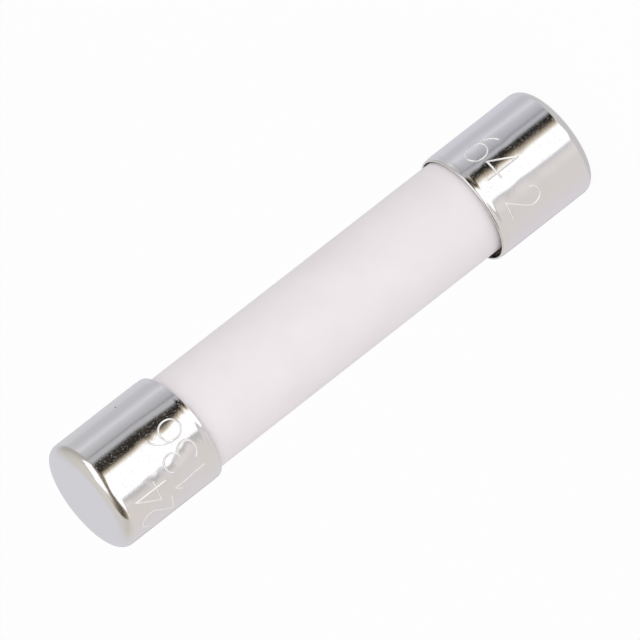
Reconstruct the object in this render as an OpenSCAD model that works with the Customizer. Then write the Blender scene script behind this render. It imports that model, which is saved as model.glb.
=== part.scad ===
// Cartridge fuse, 6.3 x 32 mm. A ceramic tube is closed at each end by a drawn metal cap.
// Inside it, a notched metal strip runs through sand from one cap to the other.
// The fuse stands on its lower cap: Z is the tube's axis, and Z = 0 is that cap's flat end.

/* [Fuse] */
// Length over both caps
fuse_l = 32; // [28:0.5:40]
// Outside diameter of both caps
cap_d = 6.3; // [5.8:0.05:6.8]

/* [Caps] */
// Length of a cap, from its flat end to its mouth
cap_l = 6.4; // [5:0.1:8]
// Thickness of a cap's side wall
cap_wall = 0.12; // [0.1:0.01:0.2]
// Thickness of a cap's flat end
cap_end = 0.2; // [0.12:0.01:0.4]
// Radius of the rounded edge between the flat end and the side
cap_edge_r = 0.55; // [0.4:0.05:0.7]
// Length of the band at the mouth that is crimped towards the tube
crimp_l = 0.4; // [0.3:0.05:1]
// Length of the slope that leads into the crimped band
crimp_slope_l = 0.12; // [0.05:0.01:0.2]
// How far the crimp brings the wall inwards
crimp_in = 0.03; // [0.01:0.01:0.05]
// Radius of the mouth's outer edge
lip_r = 0.07; // [0.02:0.01:0.09]
// Part of the clearance at its mouth that the upper cap takes up to one side
upper_lean = 0.16; // [0:0.01:0.95]
// Part of the clearance at its mouth that the lower cap takes up to the other side
lower_lean = 0.58; // [0:0.01:0.95]

/* [Tube] */
// Radial clearance between the tube and the side wall of a cap
tube_fit = 0.2; // [0.12:0.01:0.26]
// Thickness of the tube's wall
tube_wall = 0.93; // [0.7:0.01:1.2]
// Bevel round the tube's ends
tube_bevel = 0.15; // [0.05:0.01:0.3]

/* [Ends] */
// Depth of solder in a cap
solder_l = 0.5; // [0.4:0.05:0.8]
// Thickness of the washer between the solder and the tube
washer_t = 0.3; // [0.2:0.05:0.5]
// Clearance round the strip in a washer's slot
slot_fit = 0.06; // [0.03:0.01:0.15]
// How far the cement stops short of a cap's mouth
cement_back = 1.6; // [0.6:0.1:2.6]

/* [Strip] */
// Width of the strip
strip_w = 2.4; // [2:0.1:2.8]
// Thickness of the strip
strip_t = 0.12; // [0.06:0.01:0.2]
// Length of the foot that is folded over each washer
foot_l = 1.3; // [0.8:0.1:1.8]
// Number of weak places along the strip
neck_count = 5; // [1:2:5]
// Distance from one weak place to the next
neck_pitch = 4.5; // [3.5:0.1:5]
// Diameter of the hole at a weak place
hole_d = 0.8; // [0.4:0.05:1]
// Radius of the notch in each edge at a weak place
notch_r = 0.4; // [0.2:0.05:0.45]

/* [Tin spot] */
// Diameter of the tin spot on the strip
spot_d = 1.6; // [1:0.1:2]
// Height of the tin spot's dome
spot_h = 0.3; // [0.15:0.05:0.5]

/* [Hidden] */
$fn = 96;
// How far a cutter runs past the face that it opens
past = 1;
cap_r = cap_d / 2;
cavity_r = cap_r - cap_wall;
tube_r = cavity_r - tube_fit;
bore_r = tube_r - tube_wall;
// Outer face of a washer, which the solder fills the cap up to
seat_z = cap_end + solder_l;
tube_z = seat_z + washer_t;
tube_l = fuse_l - 2 * tube_z;
cement_z = cap_l - cement_back;
mouth_fit = tube_fit - crimp_in;
upper_off = upper_lean * mouth_fit;
lower_off = lower_lean * mouth_fit;
mid_z = fuse_l / 2;

// Puts what is drawn for the lower end at the upper end, turned end for end about X
module at_upper_end() {
    translate([0, 0, fuse_l]) rotate([180, 0, 0]) children();
}

// Half section of a crimped cup, filled to the axis, with its flat end at Y = 0
module cup_section(r, l, edge_r) {
    square([r - edge_r, l]);
    translate([0, edge_r]) square([r, l - crimp_l - edge_r]);
    translate([r - edge_r, edge_r]) circle(edge_r);
    translate([0, l - crimp_l])
        polygon([
            [0, 0], [r, 0], [r - crimp_in, crimp_slope_l],
            [r - crimp_in, crimp_l], [0, crimp_l]
        ]);
}

// What is cut away to round an outward corner that lies at the origin
module corner_cut(r) {
    difference() {
        translate([-r, -r]) square(r + past);
        translate([-r, -r]) circle(r);
    }
}

// Half section of the hollow in a cap, which runs out through the mouth
module cavity_section() {
    translate([0, cap_end]) cup_section(cavity_r, cap_l - cap_end, cap_edge_r - cap_wall);
    translate([0, cap_l]) square([cavity_r - crimp_in, past]);
}

// One cap, drawn from a disc and crimped at its mouth
module cap() {
    rotate_extrude()
        difference() {
            cup_section(cap_r, cap_l, cap_edge_r);
            cavity_section();
            translate([cap_r - crimp_in, cap_l]) corner_cut(lip_r);
        }
}

// What fills a cap's hollow from height z0 to height z1
module cavity_slice(z0, z1) {
    rotate_extrude()
        intersection() {
            cavity_section();
            translate([0, z0]) square([cap_r, z1 - z0]);
        }
}

// The tube's own body, hollow from the axis out to inner_r
module tube_body(inner_r) {
    translate([0, 0, tube_z])
        rotate_extrude()
            polygon([
                [inner_r, 0], [tube_r - tube_bevel, 0], [tube_r, tube_bevel],
                [tube_r, tube_l - tube_bevel], [tube_r - tube_bevel, tube_l], [inner_r, tube_l]
            ]);
}

// One end of the strip seen edge on: the fold and the foot under the washer
module strip_end_side() {
    translate([strip_t / 2, seat_z]) {
        intersection() {
            circle(strip_t);
            translate([-strip_t, -strip_t]) square(strip_t);
        }
        translate([0, -strip_t]) square([foot_l, strip_t]);
    }
}

// The whole strip seen edge on, with its feet folded to opposite sides
module strip_side() {
    translate([-strip_t / 2, seat_z]) square([strip_t, fuse_l - 2 * seat_z]);
    strip_end_side();
    translate([0, fuse_l]) rotate(180) strip_end_side();
}

// The strip before its holes and notches are cut
module strip_blank() {
    translate([-strip_w / 2, 0, 0])
        rotate([90, 0, 90]) linear_extrude(height = strip_w) strip_side();
}

// Hole and edge notches of one weak place
module neck_cut() {
    rotate([90, 0, 0]) {
        cylinder(d = hole_d, h = strip_t + past, center = true);
        for (side = [-1, 1])
            translate([side * strip_w / 2, 0, 0])
                cylinder(r = notch_r, h = strip_t + past, center = true);
    }
}

module strip() {
    difference() {
        strip_blank();
        for (i = [0 : neck_count - 1])
            translate([0, 0, mid_z + (i - (neck_count - 1) / 2) * neck_pitch]) neck_cut();
    }
}

// Dome of tin between the middle weak place and the next one up
module spot() {
    dome_r = (pow(spot_d / 2, 2) + pow(spot_h, 2)) / (2 * spot_h);
    translate([0, strip_t / 2, mid_z + neck_pitch / 2])
        rotate([-90, 0, 0])
            rotate_extrude()
                intersection() {
                    translate([0, spot_h - dome_r]) circle(dome_r);
                    square([spot_d, spot_h]);
                }
}

module washer_disc() {
    translate([0, 0, seat_z]) cylinder(r = tube_r, h = washer_t);
}

// Fibre washer on the tube's end, with the slot that the strip comes through
module washer() {
    difference() {
        washer_disc();
        translate([0, 0, seat_z])
            cube([strip_w + 2 * slot_fit, strip_t + 2 * slot_fit, 2 * washer_t + past], center = true);
    }
}

// Solder that joins the strip's foot to a cap which lies off by the distance off
module solder(off) {
    difference() {
        translate([off, 0, 0]) cavity_slice(cap_end, seat_z);
        strip_blank();
    }
}

// Cement between the tube and a cap which lies off by the distance off
module cement(off) {
    difference() {
        translate([off, 0, 0]) cavity_slice(seat_z, cement_z);
        washer_disc();
        tube_body(0);
    }
}

module top_cap() {
    color("silver") at_upper_end() translate([upper_off, 0, 0]) cap();
}

module bottom_cap() {
    color("silver") translate([-lower_off, 0, 0]) cap();
}

module ceramic_tube() {
    color("whitesmoke") tube_body(bore_r);
}

module fuse_strip() {
    color("peru") strip();
}

module tin_spot() {
    color("lightsteelblue") spot();
}

// Sand packed into the bore, round the strip and through its holes
module sand_filling() {
    color("wheat")
        difference() {
            translate([0, 0, tube_z]) cylinder(r = bore_r, h = tube_l);
            strip();
            spot();
        }
}

module top_solder() {
    color("slategray") at_upper_end() solder(upper_off);
}

module bottom_solder() {
    color("slategray") solder(-lower_off);
}

module top_washer() {
    color("tan") at_upper_end() washer();
}

module bottom_washer() {
    color("tan") washer();
}

module top_cement() {
    color("ivory") at_upper_end() cement(upper_off);
}

module bottom_cement() {
    color("ivory") cement(-lower_off);
}

top_cap();
bottom_cap();
ceramic_tube();
fuse_strip();
tin_spot();
sand_filling();
top_solder();
bottom_solder();
top_washer();
bottom_washer();
top_cement();
bottom_cement();
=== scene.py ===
import math

import bmesh
import bpy
import numpy as np
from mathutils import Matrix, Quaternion, Vector


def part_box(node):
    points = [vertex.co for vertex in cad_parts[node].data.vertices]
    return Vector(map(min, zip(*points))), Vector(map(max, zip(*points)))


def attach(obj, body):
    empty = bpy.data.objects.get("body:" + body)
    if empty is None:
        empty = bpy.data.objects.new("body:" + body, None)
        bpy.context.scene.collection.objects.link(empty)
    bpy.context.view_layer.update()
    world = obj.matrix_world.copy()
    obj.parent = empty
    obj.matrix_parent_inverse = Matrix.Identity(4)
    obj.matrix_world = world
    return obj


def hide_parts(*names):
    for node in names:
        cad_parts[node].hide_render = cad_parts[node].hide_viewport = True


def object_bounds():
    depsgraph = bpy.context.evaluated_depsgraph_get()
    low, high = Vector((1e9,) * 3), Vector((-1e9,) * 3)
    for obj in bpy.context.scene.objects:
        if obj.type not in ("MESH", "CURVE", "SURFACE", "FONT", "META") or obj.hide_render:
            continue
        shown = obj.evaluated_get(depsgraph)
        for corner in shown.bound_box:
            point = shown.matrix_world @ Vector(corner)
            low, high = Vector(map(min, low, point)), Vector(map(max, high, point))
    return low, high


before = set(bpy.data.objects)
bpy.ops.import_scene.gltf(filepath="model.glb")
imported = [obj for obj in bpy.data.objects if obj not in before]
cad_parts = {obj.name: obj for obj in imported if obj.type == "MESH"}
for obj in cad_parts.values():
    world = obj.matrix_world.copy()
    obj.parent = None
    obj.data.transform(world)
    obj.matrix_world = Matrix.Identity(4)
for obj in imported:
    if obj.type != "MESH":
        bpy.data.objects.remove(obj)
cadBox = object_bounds()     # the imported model's box
mm = 0.001
imageSide = 640
print("frame loaded with", len(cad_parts), "nodes")

# Camera
cameraLook = {
    "elevation": 19.733,                # degrees above the horizon, seen from the -Y side
    "distance": 536.7 * mm,             # from the middle of the fuse
    "lens": 593.72, "sensor": 36,       # mm
    "clip": (0.01, 10),                 # m
    "turn": -127.99,                    # degrees that the camera turns about its own view
    "middlePixel": (321.45, 317.52),    # where the middle of the fuse lies in the picture
}


def fuseMiddle():
    return Vector((0, 0, (cadBox[0].z + cadBox[1].z) / 2))


def makeCamera(look):
    rise = math.radians(look["elevation"])
    back = Vector((0, -math.cos(rise), math.sin(rise)))
    spot = fuseMiddle() + back * look["distance"]
    turn = Quaternion((0, 0, 1), math.radians(look["turn"]))
    straight = (-back).to_track_quat("-Z", "Y") @ turn
    data = bpy.data.cameras.new("camera")
    data.sensor_width = look["sensor"]
    data.lens = look["lens"]
    data.clip_start, data.clip_end = look["clip"]
    # The camera aims a little off the middle, by so many pixels at its distance
    pixel = look["distance"] * data.sensor_width / look["lens"] / imageSide
    right = (imageSide / 2 - look["middlePixel"][0]) * pixel
    up = (look["middlePixel"][1] - imageSide / 2) * pixel
    target = fuseMiddle() + straight @ Vector((right, up, 0))
    camera = bpy.data.objects.new("camera", data)
    camera.rotation_mode = "QUATERNION"
    camera.location = spot
    camera.rotation_quaternion = (target - spot).to_track_quat("-Z", "Y") @ turn
    bpy.context.scene.collection.objects.link(camera)
    bpy.context.scene.camera = camera
    return straight


# Turns the picture's right, up and towards-the-camera into the scene's axes
cameraTurn = makeCamera(cameraLook)
print("camera placed")


# Helpers for node trees
def addNode(tree, kind, **settings):
    node = tree.nodes.new(kind)
    for name, value in settings.items():
        setattr(node, name, value)
    return node


def feed(tree, socket, value):
    if isinstance(value, bpy.types.NodeSocket):
        tree.links.new(value, socket)
    else:
        socket.default_value = value


def feedAll(tree, node, **values):
    for name, value in values.items():
        feed(tree, node.inputs[name.replace("_", " ")], value)


def calc(tree, operation, *values):
    node = addNode(tree, "ShaderNodeMath", operation=operation)
    for socket, value in zip(node.inputs, values):
        feed(tree, socket, value)
    return node.outputs[0]


def times(tree, first, *others):
    for other in others:
        first = calc(tree, "MULTIPLY", first, other)
    return first


def alongAxis(tree, vector, axis):
    node = addNode(tree, "ShaderNodeVectorMath", operation="DOT_PRODUCT")
    feed(tree, node.inputs[0], vector)
    node.inputs[1].default_value = axis
    return node.outputs["Value"]


def angle(tree, sideways, forward):
    return times(tree, calc(tree, "ARCTAN2", sideways, forward), 180 / math.pi)


def rescale(tree, value, fromLow, fromHigh, toLow=0.0, toHigh=1.0, soft=False):
    node = addNode(tree, "ShaderNodeMapRange", interpolation_type="SMOOTHSTEP" if soft else "LINEAR")
    feedAll(tree, node, Value=value, From_Min=fromLow, From_Max=fromHigh, To_Min=toLow, To_Max=toHigh)
    return node.outputs["Result"]


def edge(tree, value, middle, width):
    # Goes smoothly from 0 to 1 as the value passes the middle. A negative width goes from 1 to 0.
    if width > 0:
        return rescale(tree, value, middle - width / 2, middle + width / 2, soft=True)
    return rescale(tree, value, middle + width / 2, middle - width / 2, 1.0, 0.0, soft=True)


def window(tree, value, low, high, width):
    return times(tree, edge(tree, value, low, width), edge(tree, value, high, -width))


def mixColour(tree, factor, first, second, how="MIX"):
    node = addNode(tree, "ShaderNodeMix", data_type="RGBA", blend_type=how)
    # This node has sockets of each data type under the same names, so they are taken by number
    for number, value in ((0, factor), (6, first), (7, second)):
        feed(tree, node.inputs[number], value)
    return node.outputs[2]


def colourRamp(tree, value, stops):
    # Each stop is a value and the colour there
    low, high = stops[0][0], stops[-1][0]
    node = addNode(tree, "ShaderNodeValToRGB")
    feed(tree, node.inputs["Fac"], rescale(tree, value, low, high))
    elements = node.color_ramp.elements
    while len(elements) < len(stops):
        elements.new(1.0)
    for element, (stop, colour) in zip(elements, stops):
        element.position = (stop - low) / (high - low)
        element.color = opaque(colour)
    return node.outputs["Color"]


def mixShader(tree, factor, first, second):
    node = addNode(tree, "ShaderNodeMixShader")
    for socket, value in zip(node.inputs, (factor, first, second)):
        tree.links.new(value, socket)
    return node.outputs[0]


def grey(level, tint=(1, 1, 1)):
    return tuple(level * part for part in tint)


def opaque(colour):
    return (*colour, 1)


# Studio, as the metal mirrors it: two long softboxes with a dark gap between them behind the camera.
# Degrees are counted across from the gap to the picture's right, along from the camera downwards, in rise
# above level, and in bearing round the fuse from the camera to either side. A soft edge is given by its
# middle and its width, which is below zero where the edge falls, and a run by its two ends and their width.
studioLook = {
    "ambient": 0.69,                        # light on dull surfaces from all round
    "cool": (0.97, 0.98, 1.05),
    "warm": (1.025, 0.985, 0.965),
    "rose": (1.01, 0.975, 1.01),
    "plain": (1, 1, 1),
    # Walls at the height that the caps' sides mirror, with a dark strip straight behind the fuse: the bearing
    # of each stop, its level and its tint
    "walls": (
        (-180, 0.30, "cool"), (-173, 0.34, "cool"), (-166, 0.72, "cool"), (-130, 0.71, "cool"),
        (-120, 0.63, "cool"), (-105, 0.61, "cool"), (-95, 0.70, "cool"), (-88, 0.80, "cool"),
        (-80, 0.66, "cool"), (-72, 0.58, "cool"), (-61, 0.49, "cool"), (-57.5, 0.35, "cool"),
        (-54, 0.51, "cool"), (-50, 0.56, "cool"), (-45, 0.54, "cool"),
        (26, 0.74, "warm"), (40, 0.82, "warm"), (55, 0.75, "warm"), (90, 0.76, "warm"),
        (130, 0.76, "rose"), (150, 0.75, "rose"), (165, 0.66, "rose"), (173, 0.34, "cool"),
        (180, 0.30, "cool"),
    ),
    "wallRise": (-40, -27, -12, -2),        # the walls start over the first two and end over the last two
    "ground": (0.65, 0.64, 0.67),           # below the walls
    # The ceiling's colours by rise, first at the picture's left and then at its right
    "ceilings": (
        ((-10, (0.46, 0.45, 0.45)), (8, (0.47, 0.455, 0.44)), (25, (0.58, 0.565, 0.54)),
         (50, (0.69, 0.67, 0.63)), (90, (0.76, 0.73, 0.68))),
        ((-10, (0.76, 0.73, 0.70)), (10, (0.74, 0.71, 0.68)), (30, (0.64, 0.62, 0.59)),
         (60, (0.74, 0.71, 0.68)), (90, (0.76, 0.73, 0.68))),
    ),
    "ceilingChange": (-0.3, 0.3),           # from the left one to the right one, as a share sideways
    "backWall": (0.73, 0.73, 0.785),        # what the flat end mirrors, away from the camera
    "backWallStart": (0.45, 0.97),          # where it starts and is full, as a share away
    "boxRun": (-47, 50, 9),                 # of the softboxes along
    "boxEdges": (-52, 44, 3),               # and across
    "softbox": (1.25, 1.26, 1.31),
    "rimLeft": (-57, 5),                    # outer edges across of the dim frame round the softboxes
    "rimRight": (54, -14),
    "rim": (0.57, 0.555, 0.575),
    "lowRise": (-19.7, -2),                 # below this rise, which the far cap mirrors,
    "lowTint": (1.01, 1.005, 1.045),        # the walls are so much bluer,
    "lowRimRight": (48.6, -5),              # and the frame is narrower on its right
    "lowRim": (0.70, 0.69, 0.75),           # and paler
    "gapTilt": -5.2,                        # the gap's lean in the picture
    "gapMiddle": 4.5,                       # across
    # How the gap grows along, on its left and on its right: start, end and times wider
    "gapSpread": ((25, 62, 2.0), (20, 56, 3.2)),
    # The gap's cross-section across: its left side beside the room and beside a softbox, and its right side
    "roomSide": ((-4.2, 0.50, "cool"), (-2.0, 0.28, "cool"), (-0.4, 0.07, "cool"), (1.0, 0.02, "plain")),
    "boxSide": ((-14, (0.44, 0.40, 0.35)), (-7, (0.26, 0.23, 0.20)), (-1, (0.07, 0.06, 0.05))),
    "rightSide": (
        (4.5, (0.024, 0.022, 0.02)), (8, (0.11, 0.09, 0.07)), (10.2, (0.34, 0.29, 0.23)),
        (13.2, (0.62, 0.55, 0.46)), (15.6, (1.0, 0.95, 0.86)),
    ),
    "rightSideEnd": 17.7,                   # where it has become softbox
    "gapEnd": (16.6, -2),                   # the gap's outer edge on the right
    "roomGapStart": (-4, 2),                # its outer edge on the left beside the room,
    "roomGapRun": (-67, 73.5, 9),           # and its run along there
    "boxGapStart": (-13, 11),               # the same beside a softbox
    "boxGapRun": (-53, 73.5, 9),
    "veil": (0.42, 0.37, 0.31),             # lightens the gap beside a softbox in the middle of its run
    "veilRise": (-45, -28, 0.5),            # where the veil starts and is full along, and its share
    "veilFall": (8, 50, 0.3),               # where it starts to fade and ends, and how much it loses
}


def tinted(look, stops):
    return [(stop, grey(level, look[tint])) for stop, level, tint in stops]


def roomColour(tree, look, direction, rise, low):
    sideways = alongAxis(tree, direction, (-1, 0, 0))
    bearing = angle(tree, sideways, alongAxis(tree, direction, (0, -1, 0)))
    walls = colourRamp(tree, bearing, tinted(look, look["walls"]))
    walls = mixColour(tree, low, walls, opaque(look["lowTint"]), "MULTIPLY")
    ceilings = [colourRamp(tree, rise, stops) for stops in look["ceilings"]]
    ceiling = mixColour(tree, rescale(tree, sideways, *look["ceilingChange"], soft=True), *ceilings)
    away = alongAxis(tree, direction, (0, 1, 0))
    away = rescale(tree, away, *look["backWallStart"], soft=True)
    ceiling = mixColour(tree, away, ceiling, opaque(look["backWall"]))
    groundEnd, wallFoot, wallTop, ceilingStart = look["wallRise"]
    overGround = rescale(tree, rise, groundEnd, wallFoot, soft=True)
    overWalls = rescale(tree, rise, wallTop, ceilingStart, soft=True)
    return mixColour(tree, overWalls, mixColour(tree, overGround, opaque(look["ground"]), walls), ceiling)


def withSoftboxes(tree, look, room, across, along, low):
    # Softboxes on both sides of the gap, in a dim frame
    run = window(tree, along, *look["boxRun"])
    right = rescale(
        tree, low, 0, 1, edge(tree, across, *look["rimRight"]), edge(tree, across, *look["lowRimRight"]))
    rimMask = times(tree, run, edge(tree, across, *look["rimLeft"]), right)
    rim = mixColour(tree, low, opaque(look["rim"]), opaque(look["lowRim"]))
    boxMask = times(tree, run, window(tree, across, *look["boxEdges"]))
    return mixColour(tree, boxMask, mixColour(tree, rimMask, room, rim), opaque(look["softbox"]))


def withGap(tree, look, lit, across, along):
    # The gap grows wider downwards, so the place in it is counted as if it had one width all along
    offset = calc(tree, "SUBTRACT", across, look["gapMiddle"])
    sides = [
        calc(tree, "DIVIDE", calc(tree, limit, offset, 0.0), rescale(tree, along, start, end, 1, wider))
        for limit, (start, end, wider) in zip(("MINIMUM", "MAXIMUM"), look["gapSpread"])]
    inGap = calc(tree, "ADD", calc(tree, "ADD", *sides), look["gapMiddle"])
    rightSide = [*look["rightSide"], (look["rightSideEnd"], look["softbox"])]
    besideRoom = colourRamp(tree, inGap, tinted(look, look["roomSide"]) + rightSide)
    besideBox = colourRamp(tree, inGap, [*look["boxSide"], *rightSide])
    rising, falling = [
        rescale(tree, along, start, end, 0, share)
        for start, end, share in (look["veilRise"], look["veilFall"])]
    veil = calc(tree, "SUBTRACT", rising, falling)
    besideBox = mixColour(tree, veil, besideBox, opaque(look["veil"]), "LIGHTEN")
    gapEnd = edge(tree, inGap, *look["gapEnd"])
    for beside, gapStart, gapRun in (
            (besideRoom, look["roomGapStart"], look["roomGapRun"]),
            (besideBox, look["boxGapStart"], look["boxGapRun"])):
        mask = times(tree, edge(tree, inGap, *gapStart), gapEnd, window(tree, along, *gapRun))
        lit = mixColour(tree, mask, lit, beside)
    return lit


def makeWorld(look):
    world = bpy.data.worlds.new("studio")
    bpy.context.scene.world = world
    world.use_nodes = True
    tree = world.node_tree
    tree.nodes.clear()
    direction = addNode(tree, "ShaderNodeTexCoord").outputs["Generated"]
    lean = cameraTurn @ Quaternion((0, 0, 1), math.radians(look["gapTilt"]))
    right, down, nearer = [
        alongAxis(tree, direction, lean @ Vector(axis)) for axis in ((1, 0, 0), (0, -1, 0), (0, 0, 1))]
    across = times(tree, calc(tree, "ARCSINE", right), 180 / math.pi)
    along = angle(tree, down, nearer)
    rise = times(tree, calc(tree, "ARCSINE", alongAxis(tree, direction, (0, 0, 1))), 180 / math.pi)
    low = edge(tree, rise, *look["lowRise"])
    room = roomColour(tree, look, direction, rise, low)
    lit = withSoftboxes(tree, look, room, across, along, low)
    studio = withGap(tree, look, lit, across, along)
    # The camera sees plain white, metal sees the studio, and dull surfaces get even light
    path = addNode(tree, "ShaderNodeLightPath").outputs
    shown = calc(tree, "MAXIMUM", path["Is Camera Ray"], path["Is Transmission Ray"])
    white = opaque(grey(1.0))
    ambient, mirrored, backdrop = [
        glowing(tree, "ShaderNodeBackground", colour, strength)
        for colour, strength in ((white, look["ambient"]), (studio, 1.0), (white, 1.0))]
    surface = mixShader(tree, shown, mixShader(tree, path["Is Glossy Ray"], ambient, mirrored), backdrop)
    tree.links.new(surface, addNode(tree, "ShaderNodeOutputWorld").inputs["Surface"])


def glowing(tree, kind, colour, strength):
    node = addNode(tree, kind)
    feedAll(tree, node, Color=colour, Strength=strength)
    return node.outputs[0]


makeWorld(studioLook)
bpy.context.scene.view_settings.view_transform = "Standard"

lampLook = {
    "width": 0.3, "height": 0.9, "distance": 0.5,    # m
    # Degrees from the camera, and power in W
    "lamps": {"left_softbox": (-28, 0.65), "right_softbox": (28, 1.02)},
}


def makeLamp(name, bearing, power, look):
    # A softbox as dull surfaces feel it. The metal mirrors the studio in its place.
    data = bpy.data.lights.new(name, "AREA")
    data.shape = "RECTANGLE"
    data.size = look["width"]
    data.size_y = look["height"]
    data.energy = power
    lamp = bpy.data.objects.new(name, data)
    lamp.rotation_mode = "QUATERNION"
    lamp.rotation_quaternion = cameraTurn @ Quaternion((0, 1, 0), math.radians(bearing))
    lamp.location = fuseMiddle() + lamp.rotation_quaternion @ Vector((0, 0, look["distance"]))
    lamp.visible_glossy = False
    bpy.context.scene.collection.objects.link(lamp)


for lampName, (lampBearing, lampPower) in lampLook["lamps"].items():
    makeLamp(lampName, lampBearing, lampPower, lampLook)

floorLook = {
    "side": 4.0,                   # m
    "colour": (0.95, 0.95, 0.95),
    "shadow": 0.06,                # how much of the paper's own shading shows through its plain white
}


def makeFloor(look):
    half = look["side"] / 2
    mesh = bpy.data.meshes.new("floor")
    corners = [(-half, -half, 0), (half, -half, 0), (half, half, 0), (-half, half, 0)]
    mesh.from_pydata(corners, [], [(0, 1, 2, 3)])
    floor = bpy.data.objects.new("floor", mesh)
    material = bpy.data.materials.new("floor_paper")
    material.use_nodes = True
    tree = material.node_tree
    tree.nodes.clear()
    path = addNode(tree, "ShaderNodeLightPath").outputs
    shown = calc(tree, "MAXIMUM", path["Is Camera Ray"], path["Is Glossy Ray"])
    shown = calc(tree, "MAXIMUM", shown, path["Is Transmission Ray"])
    paper = addNode(tree, "ShaderNodeBsdfDiffuse")
    feedAll(tree, paper, Color=opaque(look["colour"]))
    glow = glowing(tree, "ShaderNodeEmission", opaque(grey(1.0)), 1.0)
    surface = mixShader(tree, times(tree, shown, 1 - look["shadow"]), paper.outputs[0], glow)
    tree.links.new(surface, addNode(tree, "ShaderNodeOutputMaterial").inputs["Surface"])
    mesh.materials.append(material)
    floor.visible_glossy = False
    bpy.context.scene.collection.objects.link(floor)


makeFloor(floorLook)
print("studio lit")


# Node groups that several finishes share
patternLook = {
    # The noise's level that leaves no speck, how far it comes down with more cover, and a speck's soft edge
    "speckTop": 0.75, "speckPerCover": 0.5, "speckEdge": 0.06, "speckDetail": 1.0,
    "patchRange": (0.3, 0.7), "patchDetail": 3.0,    # the noise's levels between which a patch grows
    "lineDetail": 3.0,
    "gritReach": 0.8,                                # a grain falls to nothing at this distance, in cells
}


def newGroup(name, inputs, output):
    tree = bpy.data.node_groups.new(name, "ShaderNodeTree")
    tree.interface.new_socket("Vector", in_out="INPUT", socket_type="NodeSocketVector")
    for title, value in inputs.items():
        socket = tree.interface.new_socket(title, in_out="INPUT", socket_type="NodeSocketFloat")
        socket.default_value = value
    tree.interface.new_socket(output, in_out="OUTPUT", socket_type="NodeSocketFloat")
    return tree, tree.nodes.new("NodeGroupInput").outputs, tree.nodes.new("NodeGroupOutput").inputs[output]


def noise(tree, vector, scale, detail):
    node = addNode(tree, "ShaderNodeTexNoise")
    feedAll(tree, node, Vector=vector, Scale=scale, Detail=detail)
    return node.outputs["Fac"]


def makeGrain():
    # Fine even grain. Size is the width of one grain in metres.
    tree, given, made = newGroup("fineGrain", {"Size": 0.1 * mm, "Detail": 2.0}, "Height")
    feed(tree, made, noise(tree, given["Vector"], calc(tree, "DIVIDE", 1.0, given["Size"]), given["Detail"]))
    return tree


def makeSpecks(look):
    # Sparse round specks. Cover is the share of the surface that they take, roughly.
    tree, given, made = newGroup("specks", {"Size": 0.1 * mm, "Cover": 0.1}, "Mask")
    level = noise(tree, given["Vector"], calc(tree, "DIVIDE", 1.0, given["Size"]), look["speckDetail"])
    start = calc(tree, "SUBTRACT", look["speckTop"], times(tree, given["Cover"], look["speckPerCover"]))
    feed(tree, made, rescale(tree, level, start, calc(tree, "ADD", start, look["speckEdge"]), soft=True))
    return tree


def makeMottle(look):
    # Broad soft patches
    tree, given, made = newGroup("mottle", {"Size": 2 * mm}, "Patches")
    level = noise(tree, given["Vector"], calc(tree, "DIVIDE", 1.0, given["Size"]), look["patchDetail"])
    feed(tree, made, rescale(tree, level, *look["patchRange"], soft=True))
    return tree


def makeStreaks(look):
    # Lines along Z. Width is that of one line, and Length how many times longer it is.
    tree, given, made = newGroup("streaks", {"Width": 0.05 * mm, "Length": 30.0}, "Lines")
    squeeze = addNode(tree, "ShaderNodeVectorMath", operation="MULTIPLY")
    shares = addNode(tree, "ShaderNodeCombineXYZ")
    feedAll(tree, shares, X=1.0, Y=1.0, Z=calc(tree, "DIVIDE", 1.0, given["Length"]))
    feed(tree, squeeze.inputs[0], given["Vector"])
    feed(tree, squeeze.inputs[1], shares.outputs[0])
    perWidth = calc(tree, "DIVIDE", 1.0, given["Width"])
    feed(tree, made, noise(tree, squeeze.outputs[0], perWidth, look["lineDetail"]))
    return tree


def makeGrit(look):
    # Packed grains, high in the middle of each and low between them
    tree, given, made = newGroup("grit", {"Size": 0.2 * mm}, "Height")
    cells = addNode(tree, "ShaderNodeTexVoronoi", feature="F1")
    feedAll(tree, cells, Vector=given["Vector"], Scale=calc(tree, "DIVIDE", 1.0, given["Size"]))
    distance = cells.outputs["Distance"]
    feed(tree, made, rescale(tree, distance, 0.0, look["gritReach"], 1.0, 0.0, soft=True))
    return tree


groups = {
    "grain": makeGrain(), "specks": makeSpecks(patternLook), "mottle": makeMottle(patternLook),
    "streaks": makeStreaks(patternLook), "grit": makeGrit(patternLook),
}


def place(tree, group, vector, **values):
    node = addNode(tree, "ShaderNodeGroup", node_tree=groups[group])
    feedAll(tree, node, Vector=vector, **values)
    return node.outputs[0]


def bump(tree, shader, height, distance):
    node = addNode(tree, "ShaderNodeBump")
    feedAll(tree, node, Height=height, Distance=distance)
    feed(tree, shader.inputs["Normal"], node.outputs["Normal"])


def newFinish(name, look):
    material = bpy.data.materials.new(name)
    material.use_nodes = True
    tree = material.node_tree
    shader = tree.nodes["Principled BSDF"]
    for socket in ("Roughness", "Metallic", "Specular IOR Level"):
        if socket in look:
            shader.inputs[socket].default_value = look[socket]
    return material, tree, shader, addNode(tree, "ShaderNodeTexCoord").outputs["Object"]


platingLook = {
    "metal": (0.83, 0.815, 0.79), "stain": (0.42, 0.33, 0.22), "stainShare": 0.06,
    "roughness": (0.05, 0.09), "patchSize": 1.4 * mm,
    "grainSize": 0.07 * mm, "grainDetail": 2.0, "grainHeight": 0.0015 * mm,
    "stroke": (0.98, 0.97, 0.95), "strokeMetallic": 0.3, "strokeRoughness": 0.35,    # satin
    # The pits' near-black colour is painted shade in them
    "pitAndPaintedShade": (0.10, 0.09, 0.08),
    "speckSize": 0.06 * mm, "speckCover": 0.15, "speckHeight": 0.0026 * mm,
}


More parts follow.
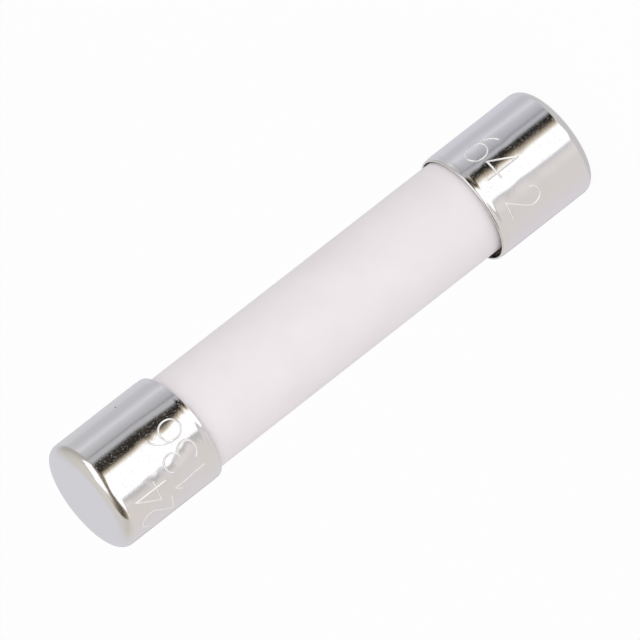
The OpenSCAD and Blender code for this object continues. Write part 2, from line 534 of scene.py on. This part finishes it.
def makePlating(look):
    material, tree, shader, where = newFinish("cap_plating", look)
    patches = place(tree, "mottle", where, Size=look["patchSize"])
    specks = place(tree, "specks", where, Size=look["speckSize"], Cover=look["speckCover"])
    grain = place(tree, "grain", where, Size=look["grainSize"], Detail=look["grainDetail"])
    stained = times(tree, specks, look["stainShare"])
    colour = mixColour(tree, stained, opaque(look["metal"]), opaque(look["stain"]))
    stroke = addNode(tree, "ShaderNodeAttribute", attribute_name="stroke").outputs["Fac"]
    colour = mixColour(tree, stroke, colour, opaque(look["stroke"]))
    # Where the pits lie, near black is painted in as their shade
    pitAndPaintedShade = addNode(tree, "ShaderNodeAttribute", attribute_name="pitAndPaintedShade").outputs["Fac"]
    colour = mixColour(tree, pitAndPaintedShade, colour, opaque(look["pitAndPaintedShade"]))
    feed(tree, shader.inputs["Base Color"], colour)
    feed(tree, shader.inputs["Metallic"], rescale(tree, stroke, 0, 1, 1, look["strokeMetallic"]))
    smooth = rescale(tree, patches, 0, 1, *look["roughness"])
    feed(tree, shader.inputs["Roughness"], rescale(tree, stroke, 0, 1, smooth, look["strokeRoughness"]))
    height = calc(tree, "SUBTRACT", times(tree, grain, look["grainHeight"] / look["speckHeight"]), specks)
    bump(tree, shader, height, look["speckHeight"])
    return material


ceramicLook = {
    "white": (0.885, 0.835, 0.855), "shade": (0.865, 0.81, 0.835), "patchSize": 2.5 * mm,
    "Roughness": 0.55, "Specular IOR Level": 0.3,
    "grainSize": 0.12 * mm, "grainDetail": 3.0, "grainHeight": 0.004 * mm,
}


def makeCeramic(look):
    material, tree, shader, where = newFinish("ceramic", look)
    patches = place(tree, "mottle", where, Size=look["patchSize"])
    grain = place(tree, "grain", where, Size=look["grainSize"], Detail=look["grainDetail"])
    colour = mixColour(tree, patches, opaque(look["white"]), opaque(look["shade"]))
    feed(tree, shader.inputs["Base Color"], colour)
    bump(tree, shader, grain, look["grainHeight"])
    return material


# Finishes of the pieces inside, which keep their packed form
stripLook = {
    "copper": (0.80, 0.50, 0.34), "worn": (0.66, 0.38, 0.25), "Metallic": 1.0, "roughness": (0.28, 0.42),
    "lineWidth": 0.03 * mm, "lineLength": 40.0, "lineDepth": 0.001 * mm, "patchSize": 1.0 * mm,
}


def makeStripMetal(look):
    # Rolled copper, with its rolling lines along the strip
    material, tree, shader, where = newFinish("strip_metal", look)
    lines = place(tree, "streaks", where, Width=look["lineWidth"], Length=look["lineLength"])
    patches = place(tree, "mottle", where, Size=look["patchSize"])
    colour = mixColour(tree, patches, opaque(look["copper"]), opaque(look["worn"]))
    feed(tree, shader.inputs["Base Color"], colour)
    feed(tree, shader.inputs["Roughness"], rescale(tree, lines, 0, 1, *look["roughness"]))
    bump(tree, shader, lines, look["lineDepth"])
    return material


tinLook = {
    "bright": (0.76, 0.77, 0.79), "frosted": (0.60, 0.61, 0.64), "Metallic": 1.0, "roughness": (0.25, 0.55),
    "crystalSize": 0.25 * mm, "crystalHeight": 0.004 * mm, "patchSize": 0.8 * mm,
}
solderLook = {
    "bright": (0.66, 0.67, 0.69), "frosted": (0.48, 0.49, 0.52), "Metallic": 1.0, "roughness": (0.35, 0.6),
    "crystalSize": 0.4 * mm, "crystalHeight": 0.012 * mm, "patchSize": 0.8 * mm,
}


def makeCastMetal(name, look):
    # Metal that set from the melt, with frosted crystals
    material, tree, shader, where = newFinish(name, look)
    crystals = place(tree, "grit", where, Size=look["crystalSize"])
    patches = place(tree, "mottle", where, Size=look["patchSize"])
    colour = mixColour(tree, crystals, opaque(look["frosted"]), opaque(look["bright"]))
    feed(tree, shader.inputs["Base Color"], colour)
    feed(tree, shader.inputs["Roughness"], rescale(tree, patches, 0, 1, *look["roughness"]))
    bump(tree, shader, crystals, look["crystalHeight"])
    return material


sandLook = {
    "light": (0.90, 0.86, 0.76), "dark": (0.68, 0.59, 0.45), "Roughness": 0.8,
    "grainSize": 0.22 * mm, "grainHeight": 0.06 * mm, "patchSize": 0.3 * mm,
}
cementLook = {
    "light": (0.86, 0.82, 0.72), "dark": (0.70, 0.64, 0.53), "Roughness": 0.9,
    "grainSize": 0.08 * mm, "grainHeight": 0.02 * mm, "patchSize": 0.9 * mm,
}


def makeMineral(name, look):
    material, tree, shader, where = newFinish(name, look)
    grains = place(tree, "grit", where, Size=look["grainSize"])
    patches = place(tree, "mottle", where, Size=look["patchSize"])
    colour = mixColour(tree, patches, opaque(look["light"]), opaque(look["dark"]))
    feed(tree, shader.inputs["Base Color"], colour)
    bump(tree, shader, grains, look["grainHeight"])
    return material


fibreLook = {
    "light": (0.70, 0.60, 0.47), "dark": (0.55, 0.44, 0.32), "Roughness": 0.85,
    "fibreWidth": 0.03 * mm, "fibreLength": 8.0, "fibreHeight": 0.006 * mm,
}


def makeFibre(look):
    material, tree, shader, where = newFinish("fibre", look)
    # The fibres lie flat in the washer, so the lines are turned out of Z
    turned = addNode(tree, "ShaderNodeVectorRotate", rotation_type="Y_AXIS")
    feedAll(tree, turned, Vector=where, Angle=math.pi / 2)
    fibres = place(tree, "streaks", turned.outputs[0], Width=look["fibreWidth"], Length=look["fibreLength"])
    colour = mixColour(tree, fibres, opaque(look["light"]), opaque(look["dark"]))
    feed(tree, shader.inputs["Base Color"], colour)
    bump(tree, shader, fibres, look["fibreHeight"])
    return material


def dressInside():
    solder = makeCastMetal("solder", solderLook)
    cement = makeMineral("cement", cementLook)
    fibre = makeFibre(fibreLook)
    finishes = {
        "fuse_strip": makeStripMetal(stripLook), "tin_spot": makeCastMetal("tin", tinLook),
        "sand_filling": makeMineral("sand", sandLook), "top_solder": solder, "bottom_solder": solder,
        "top_washer": fibre, "bottom_washer": fibre, "top_cement": cement, "bottom_cement": cement,
    }
    for node, finish in finishes.items():
        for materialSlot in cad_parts[node].material_slots:
            materialSlot.material = finish
    return len(finishes)


print("finishes made, and put on", dressInside(), "pieces inside")


# Caps
capShape = {
    "wall": 0.12 * mm, "end": 0.2 * mm, "outerLip": 0.09 * mm, "innerLip": 0.03 * mm,
    "crimpLength": 0.4 * mm, "crimpSlope": 0.2 * mm, "crimpDepth": 0.02 * mm,
    "gentleStart": (1.5, 40),    # at the flat end the bend is so much wider, fading out over so many degrees
    "dish": 0.015 * mm,          # hollow of the flat end
    "dent": 0.012 * mm,          # unevenness of the drawn side
    "slantRun": (0.7, 0.2),      # shares of the length where the mouth's slant starts and over which it grows
    "columns": 240, "row": 0.09 * mm,    # of the plain mesh
    # Steps in each stretch of the section, from the middle of the flat end over the mouth to the inside
    "steps": {"flat": 9, "bend": 36, "slope": 10, "band": 4, "outerLip": 8, "innerLip": 6, "inside": 4,
              "corner": 8},
    "insideStart": 0.3 * mm,     # the plain inside starts so far from the crimp's slope
    "innerRings": (0.66, 0.33),  # on the floor inside, as shares of its radius
    "reaches": (0.24 * mm, 0.13 * mm, 0.08 * mm),    # the mesh is halved this near to the strokes
}
# Waves of the unevenness: how many go round the side, and how long one is along it in mm
dentWaves = ((2, 9.0), (3, 5.2), (4, 3.8), (5, 2.9), (7, 2.3))
dentReach = 1.6                  # their sum stays below this
markShape = {
    "height": 2.0 * mm, "width": 1.12 * mm, "pitch": 1.37 * mm, "space": 0.95 * mm,
    "halfWidth": 0.03 * mm, "slope": 0.05 * mm, "depth": 0.02 * mm,    # of a stroke's groove
    "hollowWidth": 0.45 * mm, "hollowDepth": 0.012 * mm,               # of the hollow pressed round a stroke
}
pitShape = {"radius": 0.045 * mm, "slope": 0.03 * mm, "depth": 0.02 * mm}
# What differs from cap to cap. A row of plain numbers has one sign, 0 for the first or -1 for the last,
# whose middle lies at the bearing in degrees, and its foot's height above the mouth. The upper cap's numbers
# are read the other way up. A swell goes inwards where its depth is above zero and outwards where it is
# below. The first two bearings bound one flank of it and the last two the other, and so do the heights from
# the flat end. The seed is that of the dents.
capForms = {
    "bottom_cap": {
        "edgeRadius": 0.53 * mm, "slant": 0.0, "seed": 8,
        "rows": [{"text": "64 2", "sign": 0, "bearing": -37, "foot": 1.0 * mm}],
        "swells": [
            {"depth": -0.01 * mm, "bearings": (-13, -8, 3, 12),
             "heights": (6.0 * mm, 6.2 * mm, 6.5 * mm, 6.6 * mm)},
        ],
        "pits": [],
    },
    "top_cap": {
        "edgeRadius": 0.61 * mm, "slant": 0.075 * mm, "seed": 3,
        "rows": [
            {"text": "136", "sign": -1, "bearing": -4, "foot": 0.97 * mm},
            {"text": "24", "sign": -1, "bearing": 35, "foot": 3.3 * mm},
        ],
        "swells": [
            {"depth": 0.031 * mm, "bearings": (-34, -16, 10, 24),
             "heights": (0.2 * mm, 0.6 * mm, 3.3 * mm, 5.5 * mm)},
            {"depth": -0.07 * mm, "bearings": (9, 33, 37, 86),
             "heights": (-0.6 * mm, -0.2 * mm, 3.9 * mm, 5.3 * mm)},
            {"depth": -0.03 * mm, "bearings": (19, 31, 35, 75),
             "heights": (0.2 * mm, 0.6 * mm, 3.3 * mm, 5.5 * mm)},
            {"depth": -0.01 * mm, "bearings": (-20, -9, -5, 10),
             "heights": (0.2 * mm, 0.6 * mm, 5.6 * mm, 6.0 * mm)},
            {"depth": -0.012 * mm, "bearings": (-60, -45, -8, 2),
             "heights": (6.0 * mm, 6.2 * mm, 6.5 * mm, 6.6 * mm)},
        ],
        "pits": [{"bearing": -63, "height": 3.85 * mm}],
    },
}


def bow(cx, cy, rx, ry, start, end, steps=20):
    turn = np.radians(np.linspace(start, end, steps + 1))
    return np.column_stack([cx + rx * np.cos(turn), cy + ry * np.sin(turn)])


# Strokes of each sign in a box one wide and one high
signs = {
    "1": [[(0.2, 0.78), (0.55, 1.0), (0.55, 0.0)]],
    "2": [np.vstack([bow(0.5, 0.72, 0.45, 0.28, 165, -38), [(0.02, 0.0), (1.0, 0.0)]])],
    "3": [np.vstack([bow(0.45, 0.75, 0.43, 0.25, 150, -80), bow(0.45, 0.26, 0.53, 0.26, 85, -150)])],
    "4": [[(0.72, 0.0), (0.72, 1.0), (0.0, 0.3), (1.0, 0.3)]],
    "6": [bow(0.5, 0.31, 0.48, 0.31, 0, 360, 30), bow(0.95, 0.31, 0.93, 0.69, 180, 105, 14)],
    " ": [],
}


def rowSegments(row, reading, radius):
    # Line segments of a whole row on the unrolled side, reading rightwards, up from the mouth
    text = row["text"]
    advances = np.array([markShape["space"] if sign == " " else markShape["pitch"] for sign in text])
    middles = np.cumsum(advances) - advances / 2
    middles += reading * math.radians(row["bearing"]) * radius - middles[row["sign"]]
    corner = np.array([-markShape["width"] / 2, row["foot"]])
    size = np.array([markShape["width"], markShape["height"]])
    found = []
    for sign, middle in zip(text, middles):
        for line in signs[sign]:
            points = corner + (middle, 0) + np.asarray(line, float) * size
            found += zip(points[:-1], points[1:])
    return found


def distanceToSegments(points, segments):
    farthest = 1 * mm    # nothing is felt from farther away
    nearest = np.full(len(points), farthest)
    for start, end in segments:
        low = np.minimum(start, end) - farthest
        high = np.maximum(start, end) + farthest
        near = np.flatnonzero(np.all((points > low) & (points < high), axis=1))
        if len(near):
            step = end - start
            offset = points[near] - start
            share = np.clip(offset @ step / (step @ step), 0, 1)
            gap = np.linalg.norm(offset - share[:, None] * step, axis=1)
            nearest[near] = np.minimum(nearest[near], gap)
    return nearest


def smoothStep(value):
    value = np.clip(value, 0, 1)
    return value * value * (3 - 2 * value)


def bend(radius, gentleStart, count):
    # From a flat through 90 degrees, as steps outwards and upwards. It starts wide and ends at this height.
    wider, fade = gentleStart
    turn = np.radians(np.linspace(0, 90, count + 1))
    middle = (turn[1:] + turn[:-1]) / 2
    reach = 1 + wider * np.clip(1 - middle / math.radians(fade), 0, 1) ** 2
    steps = np.column_stack([np.cos(middle), np.sin(middle)]) * reach[:, None]
    line = np.vstack([(0, 0), np.cumsum(steps, axis=0)])
    return line * radius / line[-1, 1]


def upright(radius, heights):
    return np.column_stack([np.full(len(heights), radius), heights])


def capProfile(shape, cap):
    # Radius and height round the section, from the axis at the flat end over the mouth to the axis inside
    edgeRadius, radius, length = cap.edgeRadius, cap.radius, cap.length
    wall, outerLip, innerLip = shape["wall"], shape["outerLip"], shape["innerLip"]
    slopeFoot = length - shape["crimpLength"]
    slopeTop = slopeFoot + shape["crimpSlope"]
    bandRadius = radius - shape["crimpDepth"]
    innerRadius = bandRadius - wall
    corner = radius - edgeRadius
    steps = shape["steps"]
    rowCount = round((slopeFoot - edgeRadius) / shape["row"])
    flat = np.linspace(0, cap.flatRadius, steps["flat"] + 1)[1:-1]
    inside = np.linspace(slopeFoot - shape["insideStart"], edgeRadius, steps["inside"] + 1)
    sweep = np.linspace(0, 1, steps["slope"] + 1)
    slope = np.column_stack([
        radius - shape["crimpDepth"] * smoothStep(sweep), slopeFoot + sweep * shape["crimpSlope"]])
    parts = [
        np.column_stack([flat, np.zeros(len(flat))]),
        cap.edge + (cap.flatRadius, 0),
        upright(radius, np.linspace(edgeRadius, slopeFoot, rowCount + 1)[1:-1]),
        slope,
        upright(bandRadius, np.linspace(slopeTop, length - outerLip, steps["band"] + 1)[1:-1]),
        bow(bandRadius - outerLip, length - outerLip, outerLip, outerLip, 0, 90, steps["outerLip"]),
        bow(innerRadius + innerLip, length - innerLip, innerLip, innerLip, 90, 180, steps["innerLip"])[1:],
        [(innerRadius, slopeTop), (radius - wall, slopeFoot)],
        upright(radius - wall, inside),
        bow(corner, edgeRadius, edgeRadius - wall, edgeRadius - wall, 0, -90, steps["corner"])[1:],
        [(corner * share, shape["end"]) for share in shape["innerRings"]],
    ]
    return np.vstack([np.asarray(part, float) for part in parts])


class Cap:
    # Where a cap lies, and the way between its own bearing, radius and height and the scene's axes
    def __init__(self, node, shape):
        low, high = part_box(node)
        self.form = capForms[node]
        self.edgeRadius = self.form["edgeRadius"]
        self.upper = node == "top_cap"
        self.radius = (high.x - low.x) / 2
        self.edge = bend(self.edgeRadius, shape["gentleStart"], shape["steps"]["bend"])
        self.flatRadius = self.radius - self.edge[-1, 0]
        self.length = high.z - low.z
        self.centre = (high.x + low.x) / 2
        self.flatEnd = high.z if self.upper else low.z
        self.reading = -1 if self.upper else 1    # signs are read towards growing or falling bearings

    def points(self, bearing, radius, height):
        z = self.flatEnd - height if self.upper else self.flatEnd + height
        return np.column_stack([self.centre - np.sin(bearing) * radius, -np.cos(bearing) * radius, z])

    def measures(self, points):
        x = points[:, 0] - self.centre
        y = points[:, 1]
        return np.arctan2(-x, -y), np.hypot(x, y), np.abs(points[:, 2] - self.flatEnd)


def dents(bearing, height, seed):
    # Slow unevenness of drawn sheet, between 0 and 1
    rng = np.random.default_rng(seed)
    total = np.zeros_like(bearing)
    for lobes, wave in dentWaves:
        phase, lean = rng.uniform(0, 2 * np.pi, 2)
        total += np.cos(lobes * bearing + phase) * np.cos(2 * np.pi * height / (wave * mm) + lean) / lobes
    return 0.5 + 0.5 * total / dentReach


def plateau(value, limits):
    # Rises from 0 to 1 between the first two limits and falls back between the last two
    start, full, leave, end = limits
    return smoothStep((value - start) / (full - start)) * smoothStep((end - value) / (end - leave))


def unrolled(cap, bearing, height):
    return np.column_stack([cap.reading * bearing * cap.radius, cap.length - height])


def pitSegments(cap):
    # Each pit as a stroke so short that it is a point
    found = []
    for pitAndPaintedShade in cap.form["pits"]:
        spot = unrolled(cap, np.radians([pitAndPaintedShade["bearing"]]), np.array([pitAndPaintedShade["height"]]))[0]
        found.append((spot, spot + (pitShape["radius"] / 10, 0)))
    return found


def refineByStrokes(form, cap, segments, shape):
    # Halves the mesh of the side near the strokes, in rounds that come ever nearer
    for reach in shape["reaches"]:
        form.faces.ensure_lookup_table()
        middles = np.array([face.calc_center_median() for face in form.faces])
        bearing, radius, height = cap.measures(middles)
        onSide = (radius > cap.radius - shape["wall"] / 2) & (height > cap.edgeRadius)
        near = onSide & (distanceToSegments(unrolled(cap, bearing, height), segments) < reach)
        halved = {line for index in np.flatnonzero(near) for line in form.faces[index].edges}
        made = bmesh.ops.subdivide_edges(form, edges=list(halved), cuts=1, use_grid_fill=True)
        for item in made["geom_inner"]:
            if isinstance(item, bmesh.types.BMVert):
                reached = math.hypot(item.co.x - cap.centre, item.co.y)
                item.co.x = cap.centre + (item.co.x - cap.centre) * cap.radius / reached
                item.co.y *= cap.radius / reached


def pressIn(cap, points, segments, pits, shape):
    # Dents, swells, grooves, pits and the slanting mouth, all on the outside, and the dish of the flat end
    bearing, radius, height = cap.measures(points)
    fromCorner = np.hypot(
        np.maximum(radius - cap.radius + cap.edgeRadius, 0), np.maximum(cap.edgeRadius - height, 0))
    outside = fromCorner > cap.edgeRadius - shape["wall"] / 2
    outside |= radius > cap.radius - shape["crimpDepth"] - shape["outerLip"]
    side = outside & (height > cap.edgeRadius) & (height < cap.length - shape["crimpLength"])
    flatPlaces = unrolled(cap, bearing, height)
    fromPit = distanceToSegments(flatPlaces, pits)
    # The pits are pressed in, and their mask also paints shade into them in the plating
    pitAndPaintedShade = side * smoothStep((pitShape["radius"] + pitShape["slope"] / 2 - fromPit) / pitShape["slope"])
    gap = distanceToSegments(flatPlaces, segments)
    groove = smoothStep((markShape["halfWidth"] + markShape["slope"] / 2 - gap) / markShape["slope"])
    hollow = np.exp(-(gap / markShape["hollowWidth"]) ** 2)
    sunk = side * (groove * markShape["depth"] + hollow * markShape["hollowDepth"])
    sunk += pitAndPaintedShade * pitShape["depth"]
    drawn = shape["dent"] * dents(bearing, height, cap.form["seed"]) * np.clip(height / cap.edgeRadius, 0, 1)
    for swell in cap.form["swells"]:
        share = plateau(np.degrees(bearing), swell["bearings"]) * plateau(height, swell["heights"])
        drawn += swell["depth"] * share
    sunk += outside * drawn
    flat = (height < 0.001 * mm) & (radius <= cap.flatRadius)    # at the flat end, but for rounding
    height = height + shape["dish"] * flat * (1 - (radius / cap.flatRadius) ** 2)
    slantStart, slantLength = shape["slantRun"]
    slide = np.clip((height / cap.length - slantStart) / slantLength, 0, 1)
    height = height + cap.form["slant"] * slide * np.sin(bearing)
    return cap.points(bearing, radius - sunk, height), {"stroke": side * groove, "pitAndPaintedShade": pitAndPaintedShade}


def ringFaces(rings, count, joined):
    # Faces between rings of count points each, where joined also from the last ring to the first
    column = np.arange(count)
    following = np.roll(column, -1)
    faces = []
    for ring in range(rings if joined else rings - 1):
        near, far = ring * count, (ring + 1) % rings * count
        faces += np.column_stack([near + column, near + following, far + following, far + column]).tolist()
    return faces


def revolvedForm(points, rings, count, startPole, endPole, flip):
    # Closed at both ends by a fan round a pole on the axis
    column = np.arange(count)
    following = np.roll(column, -1)
    faces = ringFaces(rings, count, False)
    start, last = rings * count, (rings - 1) * count
    faces += np.column_stack([np.full(count, start), following, column]).tolist()
    faces += np.column_stack([np.full(count, start + 1), last + column, last + following]).tolist()
    if flip:
        faces = [face[::-1] for face in faces]
    mesh = bpy.data.meshes.new("form")
    mesh.from_pydata(np.vstack([points, startPole, endPole]).tolist(), [], faces)
    return mesh


def finishPiece(name, mesh, finish, node):
    mesh.name = name
    mesh.polygons.foreach_set("use_smooth", [True] * len(mesh.polygons))
    mesh.materials.append(finish)
    mesh.update()
    piece = bpy.data.objects.new(name, mesh)
    bpy.context.scene.collection.objects.link(piece)
    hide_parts(node)
    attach(piece, "root")
    return piece


def makeCap(node, shape, finish):
    cap = Cap(node, shape)
    segments = [
        segment for row in cap.form["rows"] for segment in rowSegments(row, cap.reading, cap.radius)]
    profile = capProfile(shape, cap)
    count = shape["columns"]
    bearing = np.tile(np.linspace(-np.pi, np.pi, count, endpoint=False), len(profile))
    points = cap.points(bearing, np.repeat(profile[:, 0], count), np.repeat(profile[:, 1], count))
    poles = cap.points(np.zeros(2), np.zeros(2), np.array([0, shape["end"]]))
    mesh = revolvedForm(points, len(profile), count, poles[0], poles[1], cap.upper)
    form = bmesh.new()
    form.from_mesh(mesh)
    pits = pitSegments(cap)
    refineByStrokes(form, cap, segments + pits, shape)
    form.to_mesh(mesh)
    form.free()
    points = np.empty(len(mesh.vertices) * 3)
    mesh.vertices.foreach_get("co", points)
    points, masks = pressIn(cap, points.reshape(-1, 3), segments, pits, shape)
    mesh.vertices.foreach_set("co", points.ravel())
    for mask, values in masks.items():
        mesh.attributes.new(mask, "FLOAT", "POINT").data.foreach_set("value", values)
    return finishPiece(node + "_plated", mesh, finish, node)


plating = makePlating(platingLook)
for capNode in ("top_cap", "bottom_cap"):
    capPiece = makeCap(capNode, capShape, plating)
    print(capPiece.name, "has", sum(len(face.vertices) - 2 for face in capPiece.data.polygons), "triangles")


# Tube
tubeShape = {
    "wall": 0.93 * mm, "bevel": 0.15 * mm, "columns": 160, "rows": 90, "unevenness": 0.004 * mm, "seed": 21,
}


def makeTube(shape, finish):
    low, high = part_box("ceramic_tube")
    radius = (high.x - low.x) / 2
    length = high.z - low.z
    inner = radius - shape["wall"]
    bevel = shape["bevel"]
    heights = np.linspace(bevel, length - bevel, shape["rows"])
    profile = np.vstack([
        [(inner, 0), (radius - bevel, 0)],
        upright(radius, heights),
        [(radius - bevel, length), (inner, length)],
    ])
    count, rings = shape["columns"], len(profile)
    bearing = np.tile(np.linspace(0, 2 * np.pi, count, endpoint=False), rings)
    r = np.repeat(profile[:, 0], count)
    h = np.repeat(profile[:, 1], count)
    r = r - shape["unevenness"] * dents(bearing, h, shape["seed"]) * (r > radius - bevel / 2)
    points = np.column_stack([-np.sin(bearing) * r, -np.cos(bearing) * r, low.z + h])
    mesh = bpy.data.meshes.new("form")
    mesh.from_pydata(points.tolist(), [], ringFaces(rings, count, True))
    return finishPiece("ceramic_tube_fine", mesh, finish, "ceramic_tube")


makeTube(tubeShape, makeCeramic(ceramicLook))
print("tube made")
